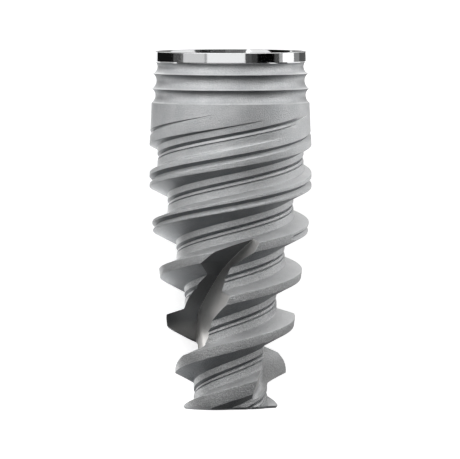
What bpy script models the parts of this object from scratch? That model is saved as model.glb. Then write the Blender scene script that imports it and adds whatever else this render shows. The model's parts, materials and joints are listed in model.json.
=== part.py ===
"""A two-piece dental implant's fixture, a tapered titanium root-form screw, lying as it comes to rest.

All of it is worked out in millimetres, upright, with the platform at height 0 and the apex below it.
Azimuth 0 faces the viewer (-Y), and it grows towards the viewer's right (+X).
"""

import math

import bmesh
import bpy
from mathutils import Matrix, Vector

NODE = "implant_fixture"
MM = 0.001

# Sizes of the real part
LENGTH = 9.925
HALF_LEAD = 1.306
STEPS = 48

# Turned outline of the neck, from the platform down: depth and radius
PLATFORM_EDGE = [(0.0, 2.075), (0.03, 2.095), (0.27, 2.1), (0.30, 2.075)]
NECK_GROOVES = [
    ((0.30, 2.075), (0.42, 2.03), (0.614, 2.156)),
    ((0.614, 2.156), (0.817, 2.058), (1.036, 2.183)),
    ((1.036, 2.183), (1.233, 2.087), (1.425, 2.196)),
]
BAND_TOP = 1.445

# Outline through the tops of the threads: depth and radius
CREST_LINE = [
    (1.445, 2.197), (2.22, 2.228), (2.58, 2.2528), (3.78, 2.2528), (4.36, 2.219), (5.0, 2.153),
    (6.05, 1.994), (7.66, 1.758), (8.89, 1.556), (9.83, 1.339), (9.87, 1.33), (11.5, 0.95),
]
APEX_ROUND = 0.05
APEX_ROUND_DEPTH = 0.065
APEX_EDGE = LENGTH - APEX_ROUND_DEPTH

# Radius of the thread's root, by the depth of the groove's middle
ROOT_LINE = [
    (-2.0, 3.11), (1.658, 2.314), (2.964, 2.031), (4.275, 1.747), (5.581, 1.503), (6.9, 1.275),
    (8.206, 1.139), (9.497, 1.018), (12.1, 0.76),
]

# Section of the thread's groove, as depths from its middle. Its corners keep their share of the half lead.
FIRST_GROOVE = 2.964
UPPER_CORNER = -0.206738 * HALF_LEAD
LOWER_CORNER = 0.254977 * HALF_LEAD
UPPER_FLANK_SLOPE = 0.462
LOWER_FLANK_SLOPE = 0.33
LINE_CUT = [(-0.085, 0.0), (0.0, 0.08), (0.078, 0.012), (0.11, 0.036), (0.18, 0.0)]

# Fine groove along the crest, as a depth from the thread groove's middle
CREST_CUT = 0.472435 * HALF_LEAD
CREST_CUT_DEPTH = [
    (-9.0, 0.0), (1.69, 0.0), (2.27, 0.07), (3.2, 0.1), (4.4, 0.092), (5.13, 0.075), (5.16, 0.0),
    (19.0, 0.0),
]
CREST_CUT_UP = 1.0
CREST_CUT_DOWN = 1.15

# Connection for the abutment
BEVEL_TOP_RADIUS = 1.80
BEVEL_FOOT_RADIUS = 1.46
BEVEL_DEPTH = 0.34
HEX_ACROSS_FLATS = 2.42
HEX_DEPTH = 2.1
BORE_RADIUS = 0.8
BORE_DEPTH = 5.2
BORE_POINT = 0.46
BORE_TIP_RADIUS = 0.01
BORE_CORNERS = 32
# How far each of its cuts reaches above the platform
BEVEL_ABOVE = 0.2
HEX_ABOVE = 0.1
BORE_ABOVE = 0.15

# How it lies: the height that its centre of mass may gain to keep the flat that it rests on facing back
TURN_COST = 0.08


def along(table, at):
    """Value of a depth table by straight lines between its points."""
    for (a, va), (b, vb) in zip(table, table[1:]):
        if at <= b:
            return va + (vb - va) * (at - a) / (b - a)
    return table[-1][1]


def groove_rows(middle):
    """(depth, radius) down one thread pitch, from the crest above a groove to the crest below it."""
    root = along(ROOT_LINE, middle)
    top = middle + UPPER_CORNER
    foot = middle + LOWER_CORNER
    for _ in range(4):
        top = middle + UPPER_CORNER - UPPER_FLANK_SLOPE * max(0.0, along(CREST_LINE, top) - root)
        foot = middle + LOWER_CORNER + LOWER_FLANK_SLOPE * max(0.0, along(CREST_LINE, foot) - root)
    rows = [(top, 9.0), (middle + UPPER_CORNER, root)]
    rows += [(middle + offset, root - cut) for offset, cut in LINE_CUT]
    rows += [(middle + LOWER_CORNER, root), (foot, 9.0)]
    cut_at = middle + CREST_CUT
    cut = along(CREST_CUT_DEPTH, cut_at)
    rows += [(cut_at - CREST_CUT_UP * cut, 9.0)]
    rows += [(cut_at, along(CREST_LINE, cut_at) - cut)]
    rows += [(cut_at + CREST_CUT_DOWN * cut, 9.0)]
    return [(depth, min(radius, along(CREST_LINE, depth))) for depth, radius in rows]


def arc_through(first, middle, last, pieces):
    """Points along the circle through three points of the neck's outline, without the first point."""
    a, b, c = Vector(first), Vector(middle), Vector(last)
    d = 2 * (a.x * (b.y - c.y) + b.x * (c.y - a.y) + c.x * (a.y - b.y))
    ux = (a.dot(a) * (b.y - c.y) + b.dot(b) * (c.y - a.y) + c.dot(c) * (a.y - b.y)) / d
    uy = (a.dot(a) * (c.x - b.x) + b.dot(b) * (a.x - c.x) + c.dot(c) * (b.x - a.x)) / d
    centre = Vector((ux, uy))
    start = (a - centre).angle_signed(c - centre)
    points = []
    for step in range(1, pieces + 1):
        turn = Matrix.Rotation(-start * step / pieces, 2)
        points.append(tuple(centre + turn @ (a - centre)))
    return points


def neck_rows():
    rows = list(PLATFORM_EDGE)
    for first, middle, last in NECK_GROOVES:
        rows += arc_through(first, middle, last, 5)
    return rows


def column(step):
    """All the rows of the outside at one azimuth, the same number at each."""
    rise = 2 * HALF_LEAD * step / STEPS
    thread = []
    for turn in range(-3, 9):
        thread += groove_rows(FIRST_GROOVE + HALF_LEAD * turn - rise)
    end = next(i for i, row in enumerate(thread) if row[0] > APEX_EDGE)
    (a, ra), (b, rb) = thread[end - 1], thread[end]
    at_edge = ra + (rb - ra) * (APEX_EDGE - a) / (b - a)
    rows = []
    for depth, radius in thread:
        if depth <= BAND_TOP:
            rows.append((BAND_TOP, along(CREST_LINE, BAND_TOP)))
        elif depth >= APEX_EDGE:
            rows.append((APEX_EDGE, at_edge))
        else:
            rows.append((depth, radius))
    return rows, at_edge


def point(step, depth, radius):
    azimuth = 2 * math.pi * step / STEPS - math.pi / 2
    return Vector((radius * math.sin(azimuth), -radius * math.cos(azimuth), -depth))


class Skin:
    """Collects the faces of a closed surface, and leaves out those without an area."""

    def __init__(self):
        self.mesh = bmesh.new()
        self.seen = {}

    def vertex(self, place):
        key = tuple(round(value, 6) for value in place)
        if key not in self.seen:
            self.seen[key] = self.mesh.verts.new(place * MM)
        return self.seen[key]

    def face(self, places):
        corners = []
        for place in places:
            vertex = self.vertex(place)
            if vertex not in corners:
                corners.append(vertex)
        if len(corners) == 4:
            self.triangle(corners[0], corners[1], corners[2])
            self.triangle(corners[0], corners[2], corners[3])
        elif len(corners) == 3:
            self.triangle(*corners)

    def triangle(self, a, b, c):
        if not self.mesh.faces.get((a, b, c)):
            self.mesh.faces.new((a, b, c))

    def object(self, name):
        bmesh.ops.recalc_face_normals(self.mesh, faces=self.mesh.faces)
        data = bpy.data.meshes.new(name)
        self.mesh.to_mesh(data)
        self.mesh.free()
        return bpy.data.objects.new(name, data)


def outside():
    """The fixture without its flutes and its connection."""
    skin = Skin()
    columns = [column(step) for step in range(STEPS)]
    pitch_rows = len(groove_rows(0.0))
    neck = neck_rows()
    centre_top = Vector((0, 0, 0))
    centre_end = Vector((0, 0, -LENGTH))
    for step in range(STEPS):
        after = step + 1
        rows, edge = columns[step]
        next_rows, next_edge = columns[after % STEPS]
        if after == STEPS:
            # One turn on, each row has become the row two pitches higher.
            shift = 2 * pitch_rows
            next_rows = next_rows[:1] * shift + next_rows[:-shift]
        for (a, ra), (b, rb) in zip(neck, neck[1:] + [rows[0]]):
            skin.face([point(step, a, ra), point(after, a, ra), point(after, b, rb), point(step, b, rb)])
        for i in range(len(rows) - 1):
            (a, ra), (b, rb) = rows[i], rows[i + 1]
            (c, rc), (d, rd) = next_rows[i], next_rows[i + 1]
            skin.face([point(step, a, ra), point(after, c, rc), point(after, d, rd), point(step, b, rb)])
        low = point(step, LENGTH, edge - APEX_ROUND)
        next_low = point(after, LENGTH, next_edge - APEX_ROUND)
        skin.face([point(step, APEX_EDGE, edge), point(after, APEX_EDGE, next_edge), next_low, low])
        skin.face([low, next_low, centre_end])
        top_edge = neck[0]
        skin.face([centre_top, point(after, *top_edge), point(step, *top_edge)])
    return skin.object(NODE)


# Two flutes at the apex. Each is a slanting cut with a flat upper wall, a sloping floor and a lower wall.
FLUTE_DEPTH_ON_AXIS = 6.914
FLUTE_ALONG = Vector((-0.3319, 0.6948, -0.6380))
FLUTE_WALL_NORMAL = Vector((0.4038, -0.5066, -0.7618))
FLUTE_OUTWARD = Vector((-0.8525, -0.5104, -0.1124))
FLUTE_WALL_OFFSET = -0.224
FLUTE_OUTSIDE = 2.36
# Station along the flute, shift of its upper wall, how far out its floor starts, the floor's slope,
# and how far across it the lower wall has its foot and its top
FLUTE_SHAPE = [
    (-3.3, 0.0, -0.28, 0.38, 1.42, 1.25), (-2.36, 0.0, 0.18, 0.38, 1.42, 1.25),
    (-1.79, 0.0, 0.445, 0.37, 1.42, 1.25), (-1.2, 0.0, 0.625, 0.37, 1.42, 1.2),
    (-0.5, 0.0, 0.68, 0.37, 1.42, 1.18), (0.28, 0.0, 0.683, 0.37, 1.43, 1.16),
    (0.67, 0.0, 0.65, 0.37, 1.48, 1.17), (1.07, 0.05, 0.53, 0.36, 1.58, 0.97),
    (1.67, 0.26, 0.385, 0.33, 1.73, 0.66), (2.0, 0.37, 0.26, 0.32, 1.73, 0.66),
    (2.6, 0.42, 0.02, 0.18, 1.73, 0.62), (3.5, 0.42, -0.4, 0.15, 1.73, 0.62),
]
FLUTE_FLOOR_MIDDLE = 0.6
FLUTE_PIECES = 4


def flute_rows(pieces):
    """FLUTE_SHAPE with each of its spans cut into this many pieces along a smooth curve."""
    slopes = []
    for i in range(len(FLUTE_SHAPE)):
        low = FLUTE_SHAPE[max(i - 1, 0)]
        high = FLUTE_SHAPE[min(i + 1, len(FLUTE_SHAPE) - 1)]
        slopes.append([(b - a) / (high[0] - low[0]) for a, b in zip(low, high)])
    rows = []
    for (one, two), (s1, s2) in zip(zip(FLUTE_SHAPE, FLUTE_SHAPE[1:]), zip(slopes, slopes[1:])):
        span = two[0] - one[0]
        for k in range(pieces):
            t = k / pieces
            h1, h2 = t * (1 - t) ** 2 * span, t * t * (t - 1) * span
            mix = t * t * (3 - 2 * t)
            rows.append([a + (b - a) * mix + c * h1 + d * h2 for a, b, c, d in zip(one, two, s1, s2)])
    return rows + [list(FLUTE_SHAPE[-1])]


def flute_section(station, shift, out, slope, foot, top):
    """The five corners of one flute at a station along it."""

    def place(across, outward):
        return (
            Vector((0, 0, -FLUTE_DEPTH_ON_AXIS))
            + FLUTE_ALONG * station
            + FLUTE_WALL_NORMAL * (across + FLUTE_WALL_OFFSET)
            + FLUTE_OUTWARD * outward
        )

    return [
        place(shift, FLUTE_OUTSIDE),
        place(shift, out + shift * slope),
        place(FLUTE_FLOOR_MIDDLE, out + FLUTE_FLOOR_MIDDLE * slope),
        place(foot, out + foot * slope),
        place(top, FLUTE_OUTSIDE),
    ]


def flute(name, turn):
    skin = Skin()
    rotation = Matrix.Rotation(turn, 3, "Z")
    sections = [[rotation @ p for p in flute_section(*row)] for row in flute_rows(FLUTE_PIECES)]
    for one, two in zip(sections, sections[1:]):
        for i in range(5):
            j = (i + 1) % 5
            skin.face([one[i], one[j], two[j], two[i]])
    for end in (sections[0], sections[-1]):
        for i in range(1, 4):
            skin.face([end[0], end[i], end[i + 1]])
    return skin.object(name)


def prism(name, rings):
    """A closed body through rings of (height, list of (x, y)), all with the same number of corners."""
    skin = Skin()
    for (z0, low), (z1, high) in zip(rings, rings[1:]):
        for i in range(len(low)):
            j = (i + 1) % len(low)
            skin.face([
                Vector((*low[i], z0)), Vector((*low[j], z0)),
                Vector((*high[j], z1)), Vector((*high[i], z1)),
            ])
    for z, ring in (rings[0], rings[-1]):
        middle = Vector((sum(p[0] for p in ring) / len(ring), sum(p[1] for p in ring) / len(ring), z))
        for i in range(len(ring)):
            j = (i + 1) % len(ring)
            skin.face([middle, Vector((*ring[i], z)), Vector((*ring[j], z))])
    return skin.object(name)


def ring(radius, corners=STEPS, turn=0.0):
    angles = [2 * math.pi * i / corners + turn for i in range(corners)]
    return [(radius * math.cos(a), radius * math.sin(a)) for a in angles]


def connection_cutters():
    slope = (BEVEL_TOP_RADIUS - BEVEL_FOOT_RADIUS) / BEVEL_DEPTH
    bevel = prism("connection_bevel", [
        (-BEVEL_DEPTH, ring(BEVEL_FOOT_RADIUS)),
        (BEVEL_ABOVE, ring(BEVEL_TOP_RADIUS + slope * BEVEL_ABOVE)),
    ])
    corner = HEX_ACROSS_FLATS / math.sqrt(3)
    hexagon = prism("connection_hex", [
        (-HEX_DEPTH, ring(corner, 6)),
        (HEX_ABOVE, ring(corner, 6)),
    ])
    bore = prism("connection_bore", [
        (-BORE_DEPTH - BORE_POINT, ring(BORE_TIP_RADIUS, BORE_CORNERS)),
        (-BORE_DEPTH, ring(BORE_RADIUS, BORE_CORNERS)),
        (BORE_ABOVE, ring(BORE_RADIUS, BORE_CORNERS)),
    ])
    return [bevel, hexagon, bore]


def cut(body, cutters):
    helpers = bpy.data.collections.new("cutters")
    bpy.context.scene.collection.children.link(helpers)
    for cutter in cutters:
        helpers.objects.link(cutter)
        cutter.hide_render = True
        cutter.display_type = "WIRE"
        step = body.modifiers.new(cutter.name, "BOOLEAN")
        step.operation = "DIFFERENCE"
        step.solver = "EXACT"
        step.object = cutter


def finished_mesh(obj):
    bpy.context.view_layer.update()
    graph = bpy.context.evaluated_depsgraph_get()
    mesh = bmesh.new()
    mesh.from_object(obj, graph)
    bmesh.ops.triangulate(mesh, faces=mesh.faces)
    return mesh


def centre_of_mass(mesh):
    total = 0.0
    moment = Vector((0, 0, 0))
    for face in mesh.faces:
        a, b, c = (v.co for v in face.verts)
        volume = a.dot(b.cross(c)) / 6
        total += volume
        moment += (a + b + c) * volume / 4
    return moment / total


def lying_rotation(obj):
    """Turns the fixture onto the flat of its hull where it lies lowest, front up and platform towards +Y."""
    mesh = finished_mesh(obj)
    centre = centre_of_mass(mesh)
    hull = bmesh.new()
    for vertex in mesh.verts:
        hull.verts.new(vertex.co)
    made = bmesh.ops.convex_hull(hull, input=hull.verts)
    best = None
    down = None
    for face in made["geom"]:
        if not isinstance(face, bmesh.types.BMFace):
            continue
        normal = face.normal.copy()
        corners = [v.co for v in face.verts]
        if normal.dot(corners[0] - centre) < 0:
            normal.negate()
            corners.reverse()
        inside = min(
            (b - a).normalized().cross(centre - a).dot(normal)
            for a, b in zip(corners, corners[1:] + corners[:1])
        )
        height = normal.dot(corners[0] - centre) / MM + TURN_COST * (1.0 - normal.y)
        if inside > 0 and (best is None or height < best):
            best = height
            down = normal
    axis = Vector((0, 0, 1))
    ahead = (axis - down * axis.dot(down)).normalized()
    side = ahead.cross(-down)
    return Matrix((side, ahead, -down))


def main():
    for old in list(bpy.data.objects):
        bpy.data.objects.remove(old)
    bpy.context.scene.unit_settings.scale_length = 1.0

    body = outside()
    home = bpy.data.collections.new("dental_implant")
    bpy.context.scene.collection.children.link(home)
    home.objects.link(body)
    cut(body, [flute("flute_front", 0.0), flute("flute_back", math.pi)] + connection_cutters())

    titanium = bpy.data.materials.new("blasted_titanium")
    titanium.use_nodes = True
    surface = titanium.node_tree.nodes["Principled BSDF"]
    surface.inputs["Base Color"].default_value = (0.42, 0.43, 0.44, 1.0)
    surface.inputs["Metallic"].default_value = 1.0
    surface.inputs["Roughness"].default_value = 0.45
    body.data.materials.append(titanium)

    turned = lying_rotation(body).to_4x4()
    mesh = finished_mesh(body)
    corners = [turned @ v.co for v in mesh.verts]
    mesh.free()
    low, high = ([pick(c[i] for c in corners) for i in range(3)] for pick in (min, max))
    floor_centre = Vector(((low[0] + high[0]) / 2, (low[1] + high[1]) / 2, low[2]))
    placed = Matrix.Translation(-floor_centre) @ turned
    for obj in [body] + list(bpy.data.collections["cutters"].objects):
        obj.matrix_world = placed


main()
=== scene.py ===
"""A dental implant's fixture for the render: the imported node's form with rounded edges, a smooth thread,
a threaded bore and blasted and polished titanium, lying under a soft studio light."""

import json
import math

import bmesh
import bpy
from mathutils import Matrix, Vector

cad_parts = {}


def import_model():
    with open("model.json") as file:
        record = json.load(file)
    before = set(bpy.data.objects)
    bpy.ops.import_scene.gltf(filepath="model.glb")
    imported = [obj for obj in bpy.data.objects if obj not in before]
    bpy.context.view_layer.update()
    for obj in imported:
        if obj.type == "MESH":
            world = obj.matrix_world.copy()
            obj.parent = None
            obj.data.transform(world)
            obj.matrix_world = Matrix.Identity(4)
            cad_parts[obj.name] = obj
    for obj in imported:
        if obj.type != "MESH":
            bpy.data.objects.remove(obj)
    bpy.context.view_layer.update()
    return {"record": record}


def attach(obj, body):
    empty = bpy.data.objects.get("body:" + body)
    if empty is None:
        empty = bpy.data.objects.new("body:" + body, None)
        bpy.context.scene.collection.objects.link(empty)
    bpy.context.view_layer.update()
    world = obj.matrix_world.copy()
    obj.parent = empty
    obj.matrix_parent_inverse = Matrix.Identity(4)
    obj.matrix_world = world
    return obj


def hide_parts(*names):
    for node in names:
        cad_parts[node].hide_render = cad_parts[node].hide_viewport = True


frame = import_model()

MM = 0.001
NO_LENGTH = 1e-9

# Sizes in millimetres of the upright fixture, with its platform at height 0 and its front towards -Y
LENGTH = 9.925
HALF_LEAD = 1.306
STARTS = 2
COLLAR_END = 0.29
BAND_TOP = 1.445
PLATFORM_SEAT_RADIUS = 1.9375

# Collar and neck as pairs of depth and radius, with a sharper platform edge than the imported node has
PLATFORM_EDGE = [(0.0, 2.087), (0.01, 2.095), (0.27, 2.1), (0.30, 2.075)]
NECK_GROOVES = [
    ((0.30, 2.075), (0.42, 2.03), (0.614, 2.156)),
    ((0.614, 2.156), (0.817, 2.058), (1.036, 2.183)),
    ((1.036, 2.183), (1.233, 2.087), (1.425, 2.196)),
]
NECK_PIECES = 12

# Taper of the thread's crests and roots as pairs of depth and radius
CREST_LINE = [
    (1.445, 2.197), (2.22, 2.228), (2.58, 2.2528), (3.78, 2.2528), (4.36, 2.219), (5.0, 2.153),
    (6.05, 1.994), (7.66, 1.758), (8.89, 1.556), (9.83, 1.339), (9.87, 1.33), (11.5, 0.95),
]
ROOT_LINE = [
    (-2.0, 3.11), (1.658, 2.314), (2.964, 2.031), (4.275, 1.747), (5.581, 1.503), (6.9, 1.275),
    (8.206, 1.139), (9.497, 1.018), (12.1, 0.76),
]

# Apex
APEX_ROUND = 0.05
APEX_ROUND_DEPTH = 0.065
APEX_EDGE = LENGTH - APEX_ROUND_DEPTH

# Groove of the thread, measured from the depth of its middle
FIRST_GROOVE = 2.964
UPPER_CORNER = -0.27
LOWER_CORNER = 0.333
UPPER_FLANK_SLOPE = 0.462
LOWER_FLANK_SLOPE = 0.33
FLANK_ROUNDS = 4
BEYOND_CREST = 9.0
# Grooves that the rows run through, counted from the first full one
FIRST_TURN = -3
END_TURN = 9

# Two fine lines along the root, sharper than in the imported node: depth from the groove's middle, and cut
LINE_CUT = [(-0.09, 0.0), (-0.01, 0.095), (0.002, 0.032), (0.068, 0.012), (0.096, 0.046), (0.112, 0.0)]

# Fine groove along the crest of the upper turns, and how deep it is at each depth
CREST_CUT = 0.617
CREST_CUT_UP = 1.0
CREST_CUT_DOWN = 1.15
CREST_CUT_DEPTH = [
    (-9.0, 0.0), (1.69, 0.0), (2.27, 0.07), (3.2, 0.1), (4.4, 0.092), (5.13, 0.075), (5.16, 0.0),
    (19.0, 0.0),
]

# Rounding of the thread's corners, as the lengths that each takes from the side above it and the side below
SHARP = (0.0, 0.0)
CREST_ROUND = (0.008, 0.008)
ROOT_TOP_ROUND = (0.025, 0.025)
ROOT_FOOT_ROUND = (0.08, 0.035)
ROUND_PIECES = 3
MOST_ROUNDED = 0.45

# Connection for the abutment: a bevel, a hexagon and a threaded bore
BEVEL_TOP_RADIUS = 1.80
BEVEL_FOOT_RADIUS = 1.46
BEVEL_DEPTH = 0.34
BEVEL_ABOVE = 0.2
BEVEL_CORNERS = 144
HEX_CORNERS = 6
HEX_ACROSS_FLATS = 2.42
HEX_DEPTH = 2.1
HEX_ABOVE = 0.1
HEX_LEAD_IN = 0.03
BORE_CORNERS = 72
BORE_RADIUS = 0.8
BORE_DEPTH = 5.2
BORE_POINT = 0.46
BORE_TIP_RADIUS = 0.02
BORE_ABOVE = 0.15
BORE_THREAD_PITCH = 0.35
BORE_THREAD_DEPTH = 0.11
BORE_THREAD_TOP = 2.35
BORE_THREAD_FOOT = 4.8
BORE_THREAD_FADE = 0.2
BORE_THREAD_ROWS = 12
BORE_FLANK_RISE = 1.35
BORE_CREST_FLAT = 0.2

# Flutes: the directions of their cut, and where it passes the axis
FLUTE_DEPTH_ON_AXIS = 6.914
FLUTE_ALONG = Vector((-0.3319, 0.6948, -0.6380))
FLUTE_WALL_NORMAL = Vector((0.4038, -0.5066, -0.7618))
FLUTE_OUTWARD = Vector((-0.8525, -0.5104, -0.1124))
FLUTE_WALL_OFFSET = -0.224
FLUTE_OUTSIDE = 2.36
# Shape of a flute: station along it, place of its wall, height and slope of its floor, floor's end, far side
FLUTE_SHAPE = [
    (-3.3, 0.0, -0.28, 0.38, 1.42, 1.25), (-2.36, 0.0, 0.18, 0.38, 1.42, 1.25),
    (-1.79, 0.0, 0.445, 0.37, 1.42, 1.25), (-1.2, 0.0, 0.625, 0.37, 1.42, 1.2),
    (-0.5, 0.0, 0.68, 0.37, 1.42, 1.18), (0.28, 0.0, 0.683, 0.37, 1.43, 1.16),
    (0.67, 0.0, 0.65, 0.37, 1.48, 1.17), (1.07, 0.05, 0.53, 0.36, 1.58, 0.97),
    (1.67, 0.26, 0.385, 0.33, 1.73, 0.66), (2.0, 0.37, 0.26, 0.32, 1.73, 0.66),
    (2.6, 0.42, 0.02, 0.18, 1.73, 0.62), (3.5, 0.42, -0.4, 0.15, 1.73, 0.62),
]
FLUTE_PIECES = 10
FLUTE_WALL_ROUND = (0.03, 0.55)
FLUTE_FOOT_ROUND = (0.2, 0.2)
FLUTE_ROUND_PIECES = 14
FINE_AT_WALL = 2.0

# Fineness of the surface
STEPS = 360
SHARP_ANGLE = math.radians(32)
PLACE_DIGITS = 5
LARGE_FACES_FIRST = 100

# Finishes, and how far from the axis those of the connection reach
BLASTED, POLISHED, MACHINED, MILLED = range(4)
HEXAGON_REACH = 1.43
BORE_REACH = 1.0
DEPTH_MARGIN = 0.01
RADIUS_MARGIN = 0.005

# Greys of the metal: the darkest and the palest of each. Some are painted light or painted shade, as marked
BLASTED_EVEN = ((0.40, 0.41, 0.42), (0.50, 0.505, 0.51))
BLASTED_GRITTY = ((0.35, 0.355, 0.36), (0.56, 0.565, 0.57))
# Painted light: a paler blasted grey on faces that turn towards the platform
BLASTED_PAINTED_LIGHT = ((0.70, 0.705, 0.71), (0.80, 0.805, 0.81))
# Painted shade: a darker blasted grey on faces that turn towards the apex
BLASTED_PAINTED_SHADE = ((0.17, 0.18, 0.19), (0.23, 0.235, 0.24))
# Painted shade on a flute's wall, where it faces the apex
FLUTE_WALL_PAINTED_SHADE = ((0.085, 0.09, 0.095), (0.11, 0.115, 0.12))
# Painted light on a flute's floor
FLUTE_FLOOR_PAINTED_LIGHT = ((0.72, 0.71, 0.695), (0.80, 0.79, 0.77))
MACHINED_GREY = ((0.50, 0.50, 0.50), (0.58, 0.58, 0.58))
POLISHED_GREY = (0.60, 0.605, 0.61, 1.0)

# Turn of a face towards the platform or the apex, where its painted light or painted shade starts and where
# it is full
TO_PLATFORM = 1
TO_APEX = -1
PAINTED_LIGHT_TURN = (0.6, 0.95)
PAINTED_SHADE_TURN = (0.15, 0.7)
FLUTE_PAINTED_SHADE_TURN = (0.0, 0.72)

# Grain: how fine it is, in features to a millimetre, and how deep, in millimetres
GRAIN_FINENESS = 24.0
PIT_FINENESS = 36.0
SPECK_FINENESS = 38.0
PATCH_FINENESS = 2.2
GRAIN_DEPTH = 0.034
PIT_DEPTH = 0.0075
MILLED_DEPTH = 0.005
RING_DEPTH = 0.0008
MARK_DEPTH = 0.002
RING_STRETCH = (0.15, 0.15, 38.0)
MARK_STRETCH = (1.5, 1.5, 22.0)
# Strength of the blasted grain at the platform and at the apex, and the heights between which it grows
GRAIN_STRENGTH = (0.35, 1.0)
GRAIN_START = -1.5
GRAIN_FULL = -6.5

# Values of the noise between which the grey goes from its darkest to its palest
PATCH_SPREAD = (0.75, 1.3)
SPECK_SPREAD = (0.3, 0.7)

# Roughness of each finish, from and to
BLASTED_ROUGHNESS = (0.4, 0.46)
POLISHED_ROUGHNESS = (0.05, 0.1)
MACHINED_ROUGHNESS = (0.2, 0.34)
MILLED_ROUGHNESS = 0.42

# Radius in millimetres that each finish gives its edges
BLASTED_EDGE = 0.008
POLISHED_EDGE = 0.01
MACHINED_EDGE = 0.02

# The photograph's view: an upright picture of the fixture from far off
PICTURE_WIDTH = 460
PICTURE_HEIGHT = 459
PIXELS_PER_MM = 36.0
AXIS_COLUMN = 230.5
PLATFORM_ROW = 51.1
VIEW_DISTANCE = 485.0
VIEW_ELEVATION = math.radians(2.12)
SENSOR_WIDTH = 36.0
CLIP_NEAR = 0.01
CLIP_FAR = 5.0

# Floor, world and lamp, in metres and watts
FLOOR_HALF = 0.6
FLOOR_COLOUR = (0.85, 0.85, 0.85, 1.0)
FLOOR_ROUGHNESS = 0.9
FLOOR_GLOSS = 0.1
FLOOR_GLOW = 0.62
WHITE = (1.0, 1.0, 1.0, 1.0)
WORLD_COLOUR = (0.8, 0.8, 0.8, 1.0)
LAMP_PLACE = (-0.12, 0.1, 0.35)
LAMP_SIZE = 0.3
LAMP_WATTS = 0.16

# Soft cards round the axis: azimuths in degrees, and brightness above and below the platform's level
STUDIO = [
    (-102.0, -76.0, 1.7, 0.3),
    (-76.0, -20.0, 1.8, 0.45),
    (-20.0, 0.0, 1.4, 0.5),
    (0.0, 22.0, 0.85, 0.35),
    (22.0, 43.0, 0.68, 0.2),
    (43.0, 73.0, 1.2, 0.08),
    (73.0, 118.0, 2.0, 0.5),
]
CARD_DISTANCE = 70.0
CARD_TOP = 121.0
CARD_FOOT = -70.0
CARD_PIECES = 8
# Narrow strip in front of them, which the polished collar mirrors: azimuths and brightness
COLLAR_STRIP = [
    (-102.0, -88.0, 0.1),
    (-88.0, -76.0, 0.22),
    (-76.0, -39.5, 0.95),
    (-39.5, -35.5, 0.62),
    (-35.5, 22.0, 1.35),
    (22.0, 32.0, 0.12),
    (32.0, 41.0, 0.07),
    (41.0, 70.0, 0.0),
    (70.0, 79.0, 0.1),
    (79.0, 86.0, 0.6),
    (86.0, 118.0, 1.8),
]
STRIP_DISTANCE = 60.0
STRIP_TOP = 5.0
STRIP_FOOT = -9.0
# Cards that lie over the floor: name, x from and to, y from and to, height, brightness
FLOOR_CARDS = [
    ("black_floor_collar", -12.0, -3.0, 3.9, 5.8, 0.03, 0.01),
    ("dark_floor_collar", -60.0, -12.0, 3.9, 9.0, 0.03, 0.12),
    ("dark_floor_collar_right", 3.5, 9.0, 3.9, 5.6, 0.04, 0.13),
    ("grey_floor_collar_right", 9.0, 22.0, 3.9, 7.0, 0.04, 0.36),
    ("white_floor_collar_right", 22.0, 58.0, 3.0, 9.0, 0.04, 1.8),
    ("grey_floor_platform", -1.8, 3.4, 5.15, 6.0, 0.03, 0.25),
    ("white_floor_beyond", -40.0, 40.0, 5.6, 99.0, 0.02, 1.3),
    ("black_floor_beyond", 6.0, 40.0, 17.0, 99.0, 0.05, 0.02),
    ("grey_floor_left", -68.0, -4.4, -30.0, 0.6, 0.03, 0.12),
    ("grey_floor_near", -4.4, -2.5, -14.0, 3.8, 0.03, 0.55),
    ("white_floor_left", -2.5, -1.6, -14.0, 3.8, 0.03, 2.6),
    ("white_floor_flute", -9.0, -4.4, 1.0, 2.4, 0.03, 1.6),
    ("grey_floor_right", 1.9, 4.5, -8.0, 3.8, 0.03, 0.55),
    ("black_floor_apex", -1.6, 14.0, -30.0, -1.5, 0.02, 0.02),
]
# Upright walls beyond the two ends: name, x from and to, y, height, brightness
END_WALLS = [
    ("apex_wall_left", -60.0, 0.0, -30.0, 30.0, 0.15),
    ("apex_wall_right", 0.0, 60.0, -30.0, 30.0, 0.03),
    ("platform_wall", -70.0, 70.0, 100.0, 70.0, 2.4),
    ("platform_wall_left", -22.0, 8.0, 99.0, 22.0, 0.2),
    ("platform_wall_middle", 8.0, 30.0, 99.0, 22.0, 0.09),
    ("platform_wall_right", 30.0, 70.0, 99.0, 16.0, 0.02),
    ("platform_flag", 1.13, 1.56, 5.4, 2.2, 0.0),
    ("platform_flag_left", -1.5, -0.98, 5.4, 2.2, 0.3),
]


def placing():
    """Matrix from the upright millimetres to the row frame in metres, from the platform's mount."""
    mount = frame["record"]["mounts"][0]
    axis = Vector(mount["axis"]).normalized()
    seat = Vector(mount["pos_m"])
    # The seat's point is straight in front of the axis, and the axis lies in the plane x = 0.
    front_x = seat.x / (PLATFORM_SEAT_RADIUS * MM)
    lift = math.sqrt((1 - front_x**2) / (1 + (axis.z / axis.y) ** 2))
    front = Vector((front_x, -lift * axis.z / axis.y, lift))
    side = axis.cross(front)
    turned = Matrix((side, -front, axis)).transposed().to_4x4()
    centre = seat - front * PLATFORM_SEAT_RADIUS * MM
    return Matrix.Translation(centre) @ turned @ Matrix.Scale(MM, 4)


def along(table, at):
    """Value of a depth table by straight lines between its points."""
    for (a, va), (b, vb) in zip(table, table[1:]):
        if at <= b:
            return va + (vb - va) * (at - a) / (b - a)
    return table[-1][1]


def fillet(before, corner, after, sizes, pieces, first_fine=1.0):
    """Points of a curve that takes off a corner, with the length that it takes from each of the two sides."""
    into, out = before - corner, after - corner
    first = corner + into * min(sizes[0] / max(into.length, NO_LENGTH), MOST_ROUNDED)
    last = corner + out * min(sizes[1] / max(out.length, NO_LENGTH), MOST_ROUNDED)
    curve = []
    for k in range(pieces + 1):
        t = (k / pieces) ** first_fine
        curve.append(tuple(first * (1 - t) ** 2 + corner * 2 * t * (1 - t) + last * t * t))
    return curve


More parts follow.
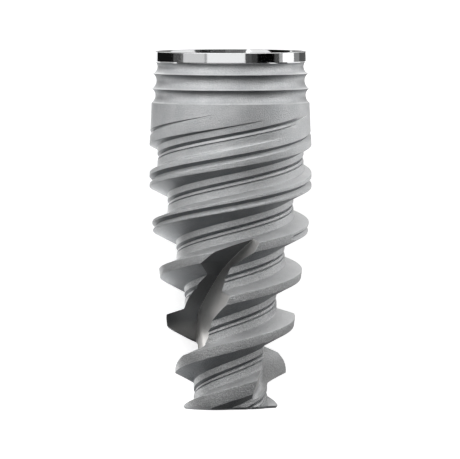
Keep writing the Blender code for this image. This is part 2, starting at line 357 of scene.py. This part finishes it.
def rounded(points, roundings):
    """The polyline with each inner corner rounded by its own lengths. A sharp corner stays one point."""
    rows = [points[0]]
    for i in range(1, len(points) - 1):
        before, corner, after = (Vector(p) for p in points[i - 1 : i + 2])
        if roundings[i] == SHARP:
            rows.append(tuple(corner))
        else:
            rows += fillet(before, corner, after, roundings[i], ROUND_PIECES)
    rows.append(points[-1])
    return rows


def groove_corners(middle):
    """(depth, radius, rounding) down one pitch of the thread, from the crest above a groove to the next."""
    root = along(ROOT_LINE, middle)
    top = middle + UPPER_CORNER
    foot = middle + LOWER_CORNER
    for _ in range(FLANK_ROUNDS):
        top = middle + UPPER_CORNER - UPPER_FLANK_SLOPE * max(0.0, along(CREST_LINE, top) - root)
        foot = middle + LOWER_CORNER + LOWER_FLANK_SLOPE * max(0.0, along(CREST_LINE, foot) - root)
    corners = [(top, BEYOND_CREST, CREST_ROUND), (middle + UPPER_CORNER, root, ROOT_TOP_ROUND)]
    corners += [(middle + offset, root - cut, SHARP) for offset, cut in LINE_CUT]
    corners += [(middle + LOWER_CORNER, root, ROOT_FOOT_ROUND), (foot, BEYOND_CREST, CREST_ROUND)]
    cut_at = middle + CREST_CUT
    cut = along(CREST_CUT_DEPTH, cut_at)
    corners += [(cut_at - CREST_CUT_UP * cut, BEYOND_CREST, SHARP)]
    corners += [(cut_at, along(CREST_LINE, cut_at) - cut, SHARP)]
    corners += [(cut_at + CREST_CUT_DOWN * cut, BEYOND_CREST, SHARP)]
    return [(depth, min(radius, along(CREST_LINE, depth)), sizes) for depth, radius, sizes in corners]


def arc_through(first, middle, last, pieces):
    """Points along the circle through three points of the neck's outline, without the first point."""
    a, b, c = Vector(first), Vector(middle), Vector(last)
    d = 2 * (a.x * (b.y - c.y) + b.x * (c.y - a.y) + c.x * (a.y - b.y))
    ux = (a.dot(a) * (b.y - c.y) + b.dot(b) * (c.y - a.y) + c.dot(c) * (a.y - b.y)) / d
    uy = (a.dot(a) * (c.x - b.x) + b.dot(b) * (a.x - c.x) + c.dot(c) * (b.x - a.x)) / d
    centre = Vector((ux, uy))
    start = (a - centre).angle_signed(c - centre)
    points = []
    for step in range(1, pieces + 1):
        turn = Matrix.Rotation(-start * step / pieces, 2)
        points.append(tuple(centre + turn @ (a - centre)))
    return points


def neck_rows():
    """(depth, radius) from the platform's edge down the collar and the three neck grooves."""
    rows = list(PLATFORM_EDGE)
    for first, middle, last in NECK_GROOVES:
        rows += arc_through(first, middle, last, NECK_PIECES)
    return rows


def column(step):
    """The rows of the thread at one azimuth, the same number at each, and the radius at the apex's edge."""
    rise = STARTS * HALF_LEAD * step / STEPS
    corners = []
    for turn in range(FIRST_TURN, END_TURN):
        corners += groove_corners(FIRST_GROOVE + HALF_LEAD * turn - rise)
    thread = rounded([c[:2] for c in corners], [c[2] for c in corners])
    end = next(i for i, row in enumerate(thread) if row[0] > APEX_EDGE)
    (a, ra), (b, rb) = thread[end - 1], thread[end]
    at_edge = ra + (rb - ra) * (APEX_EDGE - a) / (b - a)
    rows = []
    for depth, radius in thread:
        if depth <= BAND_TOP:
            rows.append((BAND_TOP, along(CREST_LINE, BAND_TOP)))
        elif depth >= APEX_EDGE:
            rows.append((APEX_EDGE, at_edge))
        else:
            rows.append((depth, radius))
    return rows, at_edge


def point(step, depth, radius):
    """A place on the surface from its step round the axis, its depth and its radius."""
    azimuth = 2 * math.pi * step / STEPS - math.pi / 2
    return Vector((radius * math.sin(azimuth), -radius * math.cos(azimuth), -depth))


class Skin:
    """Collects the faces of a closed surface, and leaves out those without an area."""

    def __init__(self):
        self.mesh = bmesh.new()
        self.seen = {}

    def vertex(self, place):
        key = tuple(round(value, PLACE_DIGITS) for value in place)
        if key not in self.seen:
            self.seen[key] = self.mesh.verts.new(place)
        return self.seen[key]

    def face(self, places, finish=BLASTED):
        corners = []
        for place in places:
            vertex = self.vertex(place)
            if vertex not in corners:
                corners.append(vertex)
        if len(corners) > 2 and not self.mesh.faces.get(corners):
            self.mesh.faces.new(corners).material_index = finish

    def object(self, name):
        bmesh.ops.recalc_face_normals(self.mesh, faces=self.mesh.faces)
        data = bpy.data.meshes.new(name)
        self.mesh.to_mesh(data)
        self.mesh.free()
        for material in FINISHES:
            data.materials.append(material)
        made = bpy.data.objects.new(name, data)
        bpy.context.scene.collection.objects.link(made)
        return made


def rows_of_a_pitch():
    """How many rows of the surface one thread pitch has."""
    corners = groove_corners(FIRST_GROOVE)
    return sum(1 if sizes == SHARP else ROUND_PIECES + 1 for _, _, sizes in corners)


def outside():
    """The fixture without its flutes and its connection."""
    skin = Skin()
    columns = [column(step) for step in range(STEPS)]
    # One turn on, each row has become the row two pitches higher.
    shift = STARTS * rows_of_a_pitch()
    neck = neck_rows()
    top_edge = neck[0]
    centre_top = Vector((0, 0, 0))
    centre_end = Vector((0, 0, -LENGTH))
    for step in range(STEPS):
        after = step + 1
        rows, edge = columns[step]
        next_rows, next_edge = columns[after % STEPS]
        if after == STEPS:
            next_rows = next_rows[:1] * shift + next_rows[:-shift]
        for (a, ra), (b, rb) in zip(neck, neck[1:] + [rows[0]]):
            skin.face([point(step, a, ra), point(after, a, ra), point(after, b, rb), point(step, b, rb)])
        for i in range(len(rows) - 1):
            (a, ra), (b, rb) = rows[i], rows[i + 1]
            (c, rc), (d, rd) = next_rows[i], next_rows[i + 1]
            skin.face([point(step, a, ra), point(after, c, rc), point(after, d, rd), point(step, b, rb)])
        low = point(step, LENGTH, edge - APEX_ROUND)
        next_low = point(after, LENGTH, next_edge - APEX_ROUND)
        skin.face([point(step, APEX_EDGE, edge), point(after, APEX_EDGE, next_edge), next_low, low])
        skin.face([low, next_low, centre_end])
        skin.face([centre_top, point(after, *top_edge), point(step, *top_edge)])
    return skin.object("implant_surface")


def flute_rows():
    """FLUTE_SHAPE with each of its spans cut into pieces along a smooth curve."""
    slopes = []
    for i in range(len(FLUTE_SHAPE)):
        low = FLUTE_SHAPE[max(i - 1, 0)]
        high = FLUTE_SHAPE[min(i + 1, len(FLUTE_SHAPE) - 1)]
        slopes.append([(b - a) / (high[0] - low[0]) for a, b in zip(low, high)])
    rows = []
    for (one, two), (s1, s2) in zip(zip(FLUTE_SHAPE, FLUTE_SHAPE[1:]), zip(slopes, slopes[1:])):
        span = two[0] - one[0]
        for k in range(FLUTE_PIECES):
            t = k / FLUTE_PIECES
            h1, h2 = t * (1 - t) ** 2 * span, t * t * (t - 1) * span
            mix = t * t * (3 - 2 * t)
            rows.append([a + (b - a) * mix + c * h1 + d * h2 for a, b, c, d in zip(one, two, s1, s2)])
    return rows + [list(FLUTE_SHAPE[-1])]


def flute_section(station, wall, out, slope, foot, top):
    """The outline of one flute at a station along it, with a fillet on each side of its floor."""
    start = Vector((wall, FLUTE_OUTSIDE))
    wall_foot = Vector((wall, out + wall * slope))
    floor_end = Vector((foot, out + foot * slope))
    end = Vector((top, FLUTE_OUTSIDE))
    outline = [tuple(start)]
    outline += fillet(start, wall_foot, floor_end, FLUTE_WALL_ROUND, FLUTE_ROUND_PIECES, FINE_AT_WALL)
    outline += fillet(wall_foot, floor_end, end, FLUTE_FOOT_ROUND, FLUTE_ROUND_PIECES)
    outline.append(tuple(end))
    return [
        Vector((0, 0, -FLUTE_DEPTH_ON_AXIS))
        + FLUTE_ALONG * station
        + FLUTE_WALL_NORMAL * (across + FLUTE_WALL_OFFSET)
        + FLUTE_OUTWARD * outward
        for across, outward in outline
    ]


def loft(name, sections, milled_sides=0):
    """A closed body through sections with the same number of corners. Its first sides may be milled."""
    skin = Skin()
    for one, two in zip(sections, sections[1:]):
        for i in range(len(one)):
            j = (i + 1) % len(one)
            skin.face([one[i], one[j], two[j], two[i]], MILLED if i < milled_sides else BLASTED)
    skin.face(sections[0][::-1])
    skin.face(sections[-1])
    return skin.object(name)


def flute(name, turn):
    """A flute's cutter: its flat wall and its floor are milled, and the side below them is blasted."""
    rotation = Matrix.Rotation(turn, 3, "Z")
    sections = [[rotation @ p for p in flute_section(*row)] for row in flute_rows()]
    return loft(name, sections, FLUTE_ROUND_PIECES + 2)


def ring(radius, height, corners):
    """The corners of a level polygon round the axis."""
    angles = [2 * math.pi * i / corners for i in range(corners)]
    return [Vector((radius * math.cos(a), radius * math.sin(a), height)) for a in angles]


def bore_radius(depth, azimuth):
    """Radius of the threaded bore, a rounded thread that fades out at both ends."""
    turns = (depth - BORE_THREAD_TOP) / BORE_THREAD_PITCH - azimuth / (2 * math.pi)
    from_end = min(depth - BORE_THREAD_TOP, BORE_THREAD_FOOT - depth)
    ends = min(max(from_end / BORE_THREAD_FADE, 0.0), 1.0)
    wave = 2 * abs(turns % 1.0 - 0.5)
    flat = min(max(BORE_FLANK_RISE * wave - BORE_CREST_FLAT, 0.0), 1.0)
    return BORE_RADIUS + BORE_THREAD_DEPTH * flat * ends


def threaded_bore():
    """The bore's cutter, with the fine thread that holds an abutment's screw and a pointed end."""
    depths = [-BORE_ABOVE, 0.0, HEX_DEPTH]
    length = BORE_THREAD_FOOT - BORE_THREAD_TOP
    fine = round(length / BORE_THREAD_PITCH * BORE_THREAD_ROWS)
    for i in range(fine + 1):
        depths.append(BORE_THREAD_TOP + length * i / fine)
    sections = []
    for depth in depths + [BORE_DEPTH]:
        section = []
        for i in range(BORE_CORNERS):
            azimuth = 2 * math.pi * i / BORE_CORNERS
            radius = bore_radius(depth, azimuth)
            section.append(Vector((radius * math.cos(azimuth), radius * math.sin(azimuth), -depth)))
        sections.append(section)
    sections.append(ring(BORE_TIP_RADIUS, -BORE_DEPTH - BORE_POINT, BORE_CORNERS))
    return loft("connection_bore", sections)


def connection_cutters():
    """The cutters for the abutment's socket: the bevel, the hexagon and the bore."""
    slope = (BEVEL_TOP_RADIUS - BEVEL_FOOT_RADIUS) / BEVEL_DEPTH
    corner = HEX_ACROSS_FLATS / math.sqrt(3)
    bevel = loft("connection_bevel", [
        ring(BEVEL_FOOT_RADIUS, -BEVEL_DEPTH, BEVEL_CORNERS),
        ring(BEVEL_TOP_RADIUS, 0.0, BEVEL_CORNERS),
        ring(BEVEL_TOP_RADIUS + slope * BEVEL_ABOVE, BEVEL_ABOVE, BEVEL_CORNERS),
    ])
    hexagon = loft("connection_hex", [
        ring(corner, -HEX_DEPTH, HEX_CORNERS),
        ring(corner, -BEVEL_DEPTH - HEX_LEAD_IN, HEX_CORNERS),
        ring(corner + HEX_LEAD_IN, -BEVEL_DEPTH, HEX_CORNERS),
        ring(corner + HEX_LEAD_IN, HEX_ABOVE, HEX_CORNERS),
    ])
    return [bevel, hexagon, threaded_bore()]


def cut(body, cutters):
    """Takes the cutters out of the body for good."""
    for cutter in cutters:
        step = body.modifiers.new(cutter.name, "BOOLEAN")
        step.operation = "DIFFERENCE"
        step.solver = "EXACT"
        step.object = cutter
    bpy.context.view_layer.update()
    graph = bpy.context.evaluated_depsgraph_get()
    made = bpy.data.meshes.new_from_object(body.evaluated_get(graph))
    body.modifiers.clear()
    body.data = made
    for cutter in cutters:
        bpy.data.objects.remove(cutter)


def finish_of(face):
    """Which finish a face has: a flute's milled faces keep theirs, and the others go by their place."""
    if face.material_index == MILLED:
        return MILLED
    centre = face.center
    depth = -centre.z
    radius = math.hypot(centre.x, centre.y)
    in_hexagon = radius < HEXAGON_REACH and depth < HEX_DEPTH + DEPTH_MARGIN
    in_bore = radius < BORE_REACH and depth < BORE_DEPTH + BORE_POINT + DEPTH_MARGIN
    in_bevel = radius < BEVEL_TOP_RADIUS + RADIUS_MARGIN and depth < BEVEL_DEPTH + DEPTH_MARGIN
    if in_hexagon or in_bore:
        return MACHINED
    if in_bevel or depth < COLLAR_END:
        return POLISHED
    return BLASTED


def fixture():
    """The visible fixture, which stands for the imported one."""
    body = outside()
    cut(body, [flute("flute_front", 0.0), flute("flute_back", math.pi)] + connection_cutters())
    mesh = body.data
    for face in mesh.polygons:
        face.material_index = finish_of(face)
        face.use_smooth = True
    mesh.transform(PLACE)
    mesh.set_sharp_from_angle(angle=SHARP_ANGLE)
    weigh = body.modifiers.new("even_normals", "WEIGHTED_NORMAL")
    weigh.keep_sharp = True
    weigh.weight = LARGE_FACES_FIRST
    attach(body, "root")
    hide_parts("implant_fixture")


class Shader:
    """Short names for making a node material."""

    def __init__(self, name):
        self.material = bpy.data.materials.new(name)
        self.material.use_nodes = True
        self.tree = self.material.node_tree
        self.surface = self.tree.nodes["Principled BSDF"]

    def node(self, kind, inputs, **settings):
        made = self.tree.nodes.new(kind)
        for key, value in settings.items():
            setattr(made, key, value)
        for key, value in inputs.items():
            if isinstance(value, bpy.types.NodeSocket):
                self.tree.links.new(value, made.inputs[key])
            else:
                made.inputs[key].default_value = value
        return made

    def set(self, **values):
        for name, value in values.items():
            socket = self.surface.inputs[name.replace("_", " ")]
            if isinstance(value, bpy.types.NodeSocket):
                self.tree.links.new(value, socket)
            else:
                socket.default_value = value

    def millimetres(self):
        """Coordinates on the upright fixture, in millimetres, with its axis along Z."""
        place = self.node("ShaderNodeTexCoord", {}).outputs["Object"]
        back = PLACE.inverted()
        return self.node("ShaderNodeMapping", {
            "Vector": place,
            "Location": back.to_translation(),
            "Rotation": back.to_euler(),
            "Scale": back.to_scale(),
        }).outputs["Vector"]

    def stretched(self, place, stretch):
        """The place scaled by a factor of its own along each axis."""
        return self.node("ShaderNodeMapping", {"Vector": place, "Scale": stretch}).outputs["Vector"]

    def noise(self, place, fineness, detail, **settings):
        """Cloudy noise from 0 to 1."""
        inputs = {"Vector": place, "Scale": fineness, "Detail": detail, **settings}
        return self.node("ShaderNodeTexNoise", inputs).outputs["Fac"]

    def soft_edges(self, radius, samples):
        """The surface's normal with its edges rounded by a radius in millimetres."""
        return self.node("ShaderNodeBevel", {"Radius": radius * MM}, samples=samples).outputs["Normal"]

    def bump(self, height, depth, strength, normal):
        """The normal changed by a relief whose depth is in millimetres."""
        return self.node("ShaderNodeBump", {
            "Height": height, "Distance": depth * MM, "Strength": strength, "Normal": normal,
        }).outputs["Normal"]

    def spread(self, value, low, high):
        """The value from 0 to 1 as it goes from low to high."""
        inputs = {"Value": value, "From Min": low, "From Max": high}
        return self.node("ShaderNodeMapRange", inputs).outputs["Result"]

    def towards_apex(self, place, at_platform, at_apex):
        """A value that goes from one end of the fixture to the other, from its place in millimetres."""
        height = self.node("ShaderNodeSeparateXYZ", {0: place}).outputs["Z"]
        return self.node("ShaderNodeMapRange", {
            "Value": height, "From Min": GRAIN_START, "From Max": GRAIN_FULL,
            "To Min": at_platform, "To Max": at_apex,
        }).outputs["Result"]

    def facing(self, way, start, full):
        """From 0 to 1 as the surface turns to face one end of the fixture."""
        normal = self.node("ShaderNodeTexCoord", {}).outputs["Normal"]
        along_axis = PLACE.to_3x3().normalized() @ Vector((0, 0, way))
        turned = self.node("ShaderNodeVectorMath", {0: normal, 1: along_axis}, operation="DOT_PRODUCT")
        return self.node("ShaderNodeMapRange", {
            "Value": turned.outputs["Value"], "From Min": start, "From Max": full,
        }, interpolation_type="SMOOTHSTEP").outputs["Result"]

    def mix(self, factor, one, two):
        """A colour between two others."""
        return self.node("ShaderNodeMix", {0: factor, 6: one, 7: two}, data_type="RGBA").outputs[2]

    def greys(self, factor, darkest, palest):
        """A grey that goes from the darkest to the palest as the factor goes from 0 to 1."""
        return self.mix(factor, (*darkest, 1.0), (*palest, 1.0))

    def ramp(self, factor, low, high):
        """A value that goes from low to high as the factor goes from 0 to 1."""
        inputs = {"Value": factor, "To Min": low, "To Max": high}
        return self.node("ShaderNodeMapRange", inputs).outputs["Result"]


def blasted_titanium():
    """Sandblasted and etched: a fine grain of pits, coarser towards the apex, with small changes of grey.
    Painted shade makes the flanks that face the apex darker, and painted light makes those that face the
    platform paler."""
    shader = Shader("blasted_titanium")
    place = shader.millimetres()
    grain = shader.noise(place, GRAIN_FINENESS, 2.0, Roughness=0.6)
    pits = shader.node("ShaderNodeTexVoronoi", {"Vector": place, "Scale": PIT_FINENESS}).outputs["Distance"]
    patches = shader.noise(place, PATCH_FINENESS, 2.0)
    specks = shader.noise(place, SPECK_FINENESS, 0.0)
    strength = shader.towards_apex(place, *GRAIN_STRENGTH)
    coarse = shader.bump(grain, GRAIN_DEPTH, strength, shader.soft_edges(BLASTED_EDGE, 6))
    fine = shader.bump(pits, PIT_DEPTH, 1.0, coarse)
    mixed = shader.node("ShaderNodeMath", {0: grain, 1: patches}, operation="ADD").outputs["Value"]
    tone = shader.spread(mixed, *PATCH_SPREAD)
    even = shader.greys(tone, *BLASTED_EVEN)
    gritty = shader.greys(shader.spread(specks, *SPECK_SPREAD), *BLASTED_GRITTY)
    bright = shader.mix(shader.towards_apex(place, 0.0, 1.0), even, gritty)
    # Painted light: a paler grey where a face turns towards the platform
    lit = shader.mix(shader.facing(TO_PLATFORM, *PAINTED_LIGHT_TURN), bright, shader.greys(tone, *BLASTED_PAINTED_LIGHT))
    # Painted shade: a darker grey where a face turns towards the apex
    dark = shader.greys(tone, *BLASTED_PAINTED_SHADE)
    shader.set(
        Base_Color=shader.mix(shader.facing(TO_APEX, *PAINTED_SHADE_TURN), lit, dark),
        Roughness=shader.ramp(patches, *BLASTED_ROUGHNESS),
        Metallic=1.0,
        Normal=fine,
    )
    return shader.material


def polished_titanium():
    """The turned and polished collar: fine rings left by the tool, with a clear gloss."""
    shader = Shader("polished_titanium")
    lines = shader.noise(shader.stretched(shader.millimetres(), RING_STRETCH), 1.0, 3.0)
    shader.set(
        Base_Color=POLISHED_GREY,
        Roughness=shader.ramp(lines, *POLISHED_ROUGHNESS),
        Metallic=1.0,
        Normal=shader.bump(lines, RING_DEPTH, 0.6, shader.soft_edges(POLISHED_EDGE, 4)),
    )
    return shader.material


def machined_titanium():
    """The cut walls of the connection: bright, with the marks of the tool."""
    shader = Shader("machined_titanium")
    marks = shader.noise(shader.stretched(shader.millimetres(), MARK_STRETCH), 1.0, 3.0)
    shader.set(
        Base_Color=shader.greys(marks, *MACHINED_GREY),
        Roughness=shader.ramp(marks, *MACHINED_ROUGHNESS),
        Metallic=1.0,
        Normal=shader.bump(marks, MARK_DEPTH, 0.6, shader.soft_edges(MACHINED_EDGE, 4)),
    )
    return shader.material


def milled_titanium():
    """A flute's wall and floor: milled and lightly blasted. Painted shade makes them dark where they face the
    apex, and painted light makes them bright elsewhere."""
    shader = Shader("milled_titanium")
    grain = shader.noise(shader.millimetres(), GRAIN_FINENESS, 2.0)
    # Painted shade on the wall, which faces the apex, and painted light on the floor
    wall = shader.greys(grain, *FLUTE_WALL_PAINTED_SHADE)
    floor_painted_light = shader.greys(grain, *FLUTE_FLOOR_PAINTED_LIGHT)
    shader.set(
        Base_Color=shader.mix(shader.facing(TO_APEX, *FLUTE_PAINTED_SHADE_TURN), floor_painted_light, wall),
        Roughness=MILLED_ROUGHNESS,
        Metallic=1.0,
        Normal=shader.bump(grain, MILLED_DEPTH, 1.0, shader.soft_edges(BLASTED_EDGE, 6)),
    )
    return shader.material


def camera():
    """Looks at the fixture from its front and a little from above its platform, as the photograph does."""
    made = bpy.data.cameras.new("camera")
    made.sensor_width = SENSOR_WIDTH
    made.lens = SENSOR_WIDTH * VIEW_DISTANCE * PIXELS_PER_MM / PICTURE_WIDTH
    made.clip_start = CLIP_NEAR
    made.clip_end = CLIP_FAR
    holder = bpy.data.objects.new("camera", made)
    bpy.context.scene.collection.objects.link(holder)
    beside = (PICTURE_WIDTH / 2 - AXIS_COLUMN) / PIXELS_PER_MM
    below = (PICTURE_HEIGHT / 2 - PLATFORM_ROW) / PIXELS_PER_MM
    aim = Vector((beside, 0, -below))
    back = Vector((0, -math.cos(VIEW_ELEVATION), math.sin(VIEW_ELEVATION)))
    up = Vector((0, math.sin(VIEW_ELEVATION), math.cos(VIEW_ELEVATION)))
    turn = PLACE.to_quaternion().to_matrix()
    axes = Matrix((turn @ up.cross(back), turn @ up, turn @ back)).transposed()
    holder.matrix_world = Matrix.Translation(PLACE @ (aim + back * VIEW_DISTANCE)) @ axes.to_4x4()
    bpy.context.scene.camera = holder


def light_path(tree, *kinds):
    """1 for a ray of any of these kinds, and 0 for the others."""
    path = tree.nodes.new("ShaderNodeLightPath")
    total = path.outputs[kinds[0]]
    for kind in kinds[1:]:
        more = tree.nodes.new("ShaderNodeMath")
        more.operation = "MAXIMUM"
        tree.links.new(total, more.inputs[0])
        tree.links.new(path.outputs[kind], more.inputs[1])
        total = more.outputs[0]
    return total


def floor():
    """A plain pale floor. The camera and the metal see it near white, with the fixture's shadow on it."""
    mesh = bpy.data.meshes.new("floor")
    half = FLOOR_HALF
    corners = [(-half, -half, 0), (half, -half, 0), (half, half, 0), (-half, half, 0)]
    mesh.from_pydata(corners, [], [(0, 1, 2, 3)])
    made = bpy.data.objects.new("floor", mesh)
    bpy.context.scene.collection.objects.link(made)
    material = bpy.data.materials.new("floor")
    material.use_nodes = True
    tree = material.node_tree
    surface = tree.nodes["Principled BSDF"]
    surface.inputs["Base Color"].default_value = FLOOR_COLOUR
    surface.inputs["Roughness"].default_value = FLOOR_ROUGHNESS
    surface.inputs["Specular IOR Level"].default_value = FLOOR_GLOSS
    surface.inputs["Emission Color"].default_value = WHITE
    strength = tree.nodes.new("ShaderNodeMath")
    strength.operation = "MULTIPLY"
    strength.inputs[1].default_value = FLOOR_GLOW
    seen = light_path(tree, "Is Camera Ray", "Is Glossy Ray", "Is Transmission Ray")
    tree.links.new(seen, strength.inputs[0])
    tree.links.new(strength.outputs[0], surface.inputs["Emission Strength"])
    mesh.materials.append(material)


def world():
    """An even pale surrounding."""
    made = bpy.data.worlds.new("studio")
    bpy.context.scene.world = made
    made.use_nodes = True
    background = made.node_tree.nodes["Background"]
    background.inputs["Color"].default_value = WORLD_COLOUR
    background.inputs["Strength"].default_value = 1.0


def glow(name, brightness):
    """The material of a studio card."""
    material = bpy.data.materials.new(name)
    material.use_nodes = True
    tree = material.node_tree
    tree.nodes.clear()
    shine = tree.nodes.new("ShaderNodeEmission")
    shine.inputs["Color"].default_value = WHITE
    shine.inputs["Strength"].default_value = brightness
    tree.links.new(shine.outputs[0], tree.nodes.new("ShaderNodeOutputMaterial").inputs["Surface"])
    return material


def studio_card(name, corners, faces, brightness):
    """A studio card that only what is glossy sees."""
    mesh = bpy.data.meshes.new(name)
    mesh.from_pydata([tuple(c) for c in corners], [], faces)
    mesh.materials.append(glow(name, brightness))
    made = bpy.data.objects.new(name, mesh)
    made.visible_camera = False
    made.visible_diffuse = False
    made.visible_shadow = False
    bpy.context.scene.collection.objects.link(made)


def curved_card(name, start, end, low, high, away, brightness):
    """A card round the fixture's axis, from one azimuth to another, in degrees, and from low to high beside
    the platform, in millimetres, as seen on the upright fixture."""
    corners = []
    for i in range(CARD_PIECES + 1):
        azimuth = math.radians(start + (end - start) * i / CARD_PIECES)
        x, y = away * math.sin(azimuth), -away * math.cos(azimuth)
        corners += [PLACE @ Vector((x, y, low)), PLACE @ Vector((x, y, high))]
    faces = [(2 * i, 2 * i + 1, 2 * i + 3, 2 * i + 2) for i in range(CARD_PIECES)]
    studio_card(name, corners, faces, brightness)


def flat_card(name, corners, brightness):
    """A card of four corners, in millimetres of the row frame."""
    corners = [(x * MM, y * MM, z * MM) for x, y, z in corners]
    studio_card(name, corners, [(0, 1, 2, 3)], brightness)


def lamp(name, place, size, watts):
    """A soft square lamp that faces the fixture and doesn't show in the metal."""
    light = bpy.data.lights.new(name, "AREA")
    light.shape = "SQUARE"
    light.size = size
    light.energy = watts
    made = bpy.data.objects.new(name, light)
    made.location = place
    made.rotation_euler = (-Vector(place)).to_track_quat("-Z", "Y").to_euler()
    made.visible_glossy = False
    bpy.context.scene.collection.objects.link(made)


def studio():
    """The floor, the light and the cards that the metal mirrors."""
    world()
    floor()
    lamp("overhead", LAMP_PLACE, LAMP_SIZE, LAMP_WATTS)
    for start, end, above, below in STUDIO:
        name = "card_%+04d" % start
        curved_card(name + "_above", start, end, 0.0, CARD_TOP, CARD_DISTANCE, above)
        curved_card(name + "_below", start, end, CARD_FOOT, 0.0, CARD_DISTANCE, below)
    for start, end, brightness in COLLAR_STRIP:
        curved_card("strip_%+04d" % start, start, end, STRIP_FOOT, STRIP_TOP, STRIP_DISTANCE, brightness)
    for name, x0, x1, y0, y1, z, brightness in FLOOR_CARDS:
        flat_card(name, [(x0, y0, z), (x1, y0, z), (x1, y1, z), (x0, y1, z)], brightness)
    for name, x0, x1, y, height, brightness in END_WALLS:
        flat_card(name, [(x0, y, 0.0), (x1, y, 0.0), (x1, y, height), (x0, y, height)], brightness)


PLACE = placing()
FINISHES = (
    blasted_titanium(),
    polished_titanium(),
    machined_titanium(),
    milled_titanium(),
)
bpy.context.scene.view_settings.view_transform = "Standard"
fixture()
camera()
studio()
